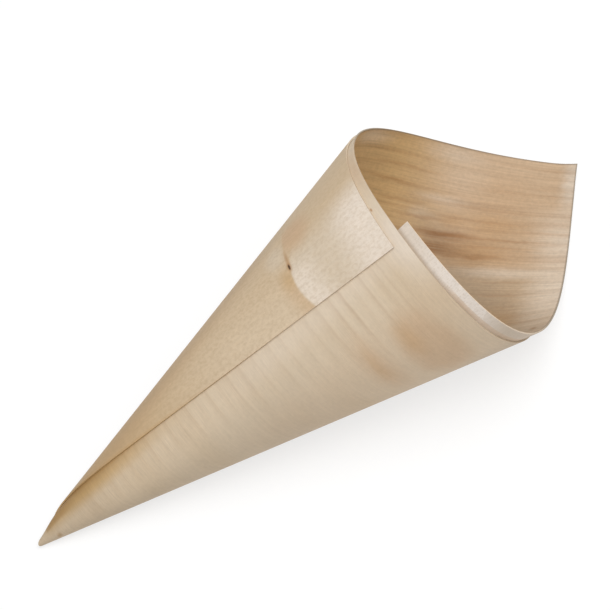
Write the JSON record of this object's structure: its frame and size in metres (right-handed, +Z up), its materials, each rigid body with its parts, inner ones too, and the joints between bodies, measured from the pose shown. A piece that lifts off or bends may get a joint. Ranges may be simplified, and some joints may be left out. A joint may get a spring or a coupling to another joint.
{
  "type": "wooden food cone",
  "caption": "Pointed cone rolled from one thin sheet of wood veneer, with a slanted open mouth, a strip standing inside the rim and a glued outer flap, made to hold finger food.",
  "frame": {"origin": "centre of the bounding box, on the floor that the cone lies on", "axes": "+Z up, +X along the ruling that lies on the floor, from the tip towards the mouth"},
  "size_m": [0.1802, 0.0756, 0.0573],
  "materials": {
    "veneer": "bare pale softwood veneer, matt, with fine growth lines along the sheet's long edge"
  },
  "bodies": {
    "root": {"veneer_cone": "veneer"}
  },
  "joints": []
}
